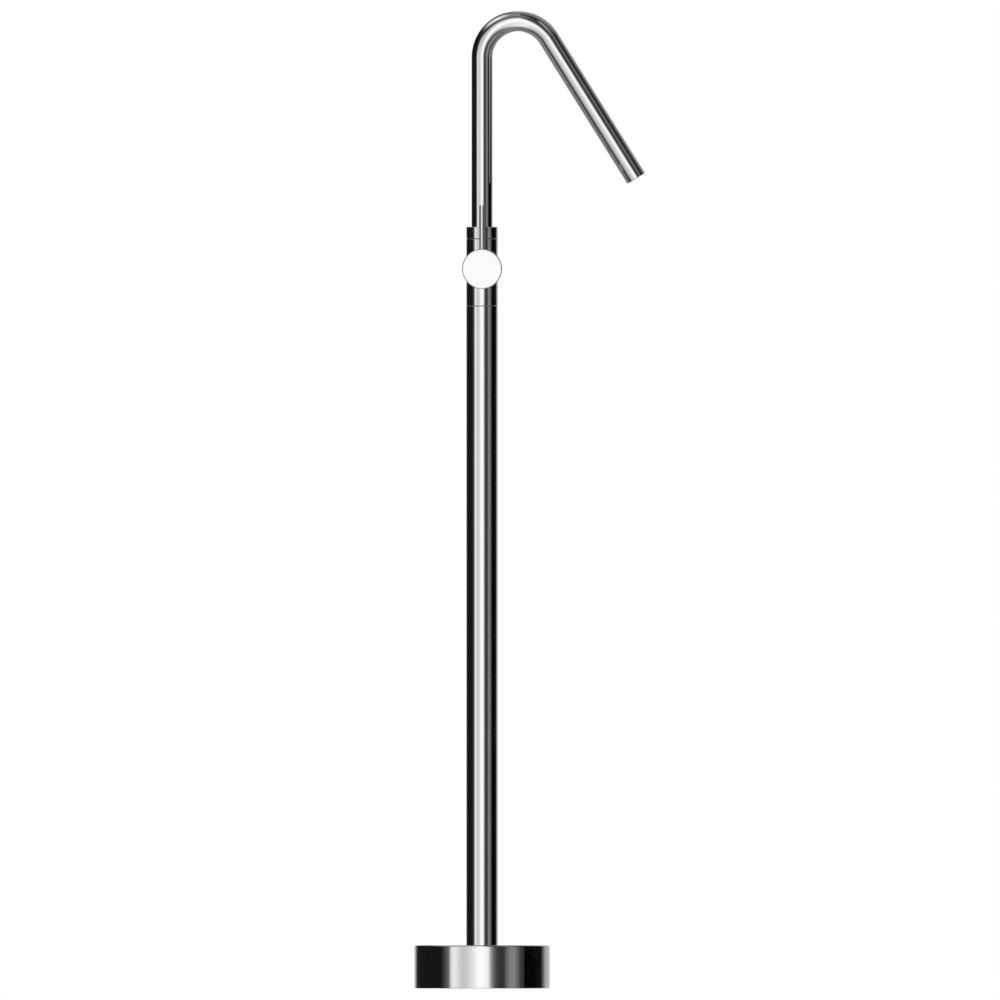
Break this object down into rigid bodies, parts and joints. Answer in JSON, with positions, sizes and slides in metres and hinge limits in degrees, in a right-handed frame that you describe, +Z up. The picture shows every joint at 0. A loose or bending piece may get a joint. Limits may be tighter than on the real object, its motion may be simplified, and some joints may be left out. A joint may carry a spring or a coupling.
{
  "type": "floor standing bath filler",
  "caption": "Chromed floor standing bath filler: round floor cover, tubular column, swan-neck spout that swivels, and one lever for flow and temperature.",
  "frame": {"origin": "centre of the floor bolt circle at floor level, on the column's axis", "axes": "+Z up along the column, +X the way the spout reaches, -Y the way the handle faces"},
  "size_m": [0.2777, 0.1632, 1.176],
  "materials": {
    "chrome": "polished chrome plate on brass",
    "brass": "turned brass, bare",
    "steel": "turned stainless steel, satin",
    "copper": "drawn copper tube",
    "seal_rubber": "moulded black rubber",
    "cartridge_plastic": "moulded grey acetal",
    "bearing_plastic": "moulded white acetal",
    "ceramic": "lapped white alumina ceramic"
  },
  "bodies": {
    "column": {"base_cover": "chrome", "column_tube": "chrome", "valve_body": "chrome", "cartridge_cap": "chrome", "column_socket": "brass", "inlet_block": "brass", "cartridge_nut": "brass", "floor_plate": "steel", "socket_screws": "steel", "column_grub_screws": "steel", "column_fixing_screw": "steel", "spout_stop_screw": "steel", "hot_supply_tube": "copper", "cold_supply_tube": "copper", "supply_tube_seals": "seal_rubber", "base_cover_seal": "seal_rubber", "valve_body_seal": "seal_rubber", "cartridge_port_seals": "seal_rubber", "cartridge_base": "cartridge_plastic", "cartridge_housing": "cartridge_plastic", "spout_bearing_ring": "bearing_plastic", "fixed_ceramic_disc": "ceramic"},
    "spout": {"spout_spigot": "brass", "spout_seals": "seal_rubber", "spout_collar": "chrome", "spout_tube": "chrome", "aerator_housing": "chrome", "aerator_insert": "bearing_plastic", "aerator_washer": "seal_rubber"},
    "temperature_carrier": {"cartridge_carrier": "cartridge_plastic", "stem_pivot_pin": "steel"},
    "flow_slide": {"moving_ceramic_disc": "ceramic", "disc_slider": "cartridge_plastic"},
    "lever": {"cartridge_stem": "steel", "handle_hub": "chrome", "lever_pin": "chrome", "handle_grub_screw": "steel"}
  },
  "joints": [
    {"name": "spout_swivel", "type": "hinge", "parent": "column", "child": "spout", "pos_m": [0, 0, 0.9017], "axis": [0, 0, 1], "range_deg": [-60, 60]},
    {"name": "temperature", "type": "hinge", "parent": "column", "child": "temperature_carrier", "pos_m": [0, -0.03, 0.8655], "axis": [0, -1, 0], "range_deg": [-45, 45]},
    {"name": "flow", "type": "hinge", "parent": "temperature_carrier", "child": "lever", "pos_m": [0, -0.03, 0.8655], "axis": [1, 0, 0], "range_deg": [0, 25]},
    {"name": "flow_slide", "type": "slide", "parent": "temperature_carrier", "child": "flow_slide", "axis": [0, 0, 1], "range_m": [0, 0.00322]}
  ],
  "couplings": [
    {"joint": "flow_slide", "follows": "flow", "m_per_rad": 0.00736}
  ]
}
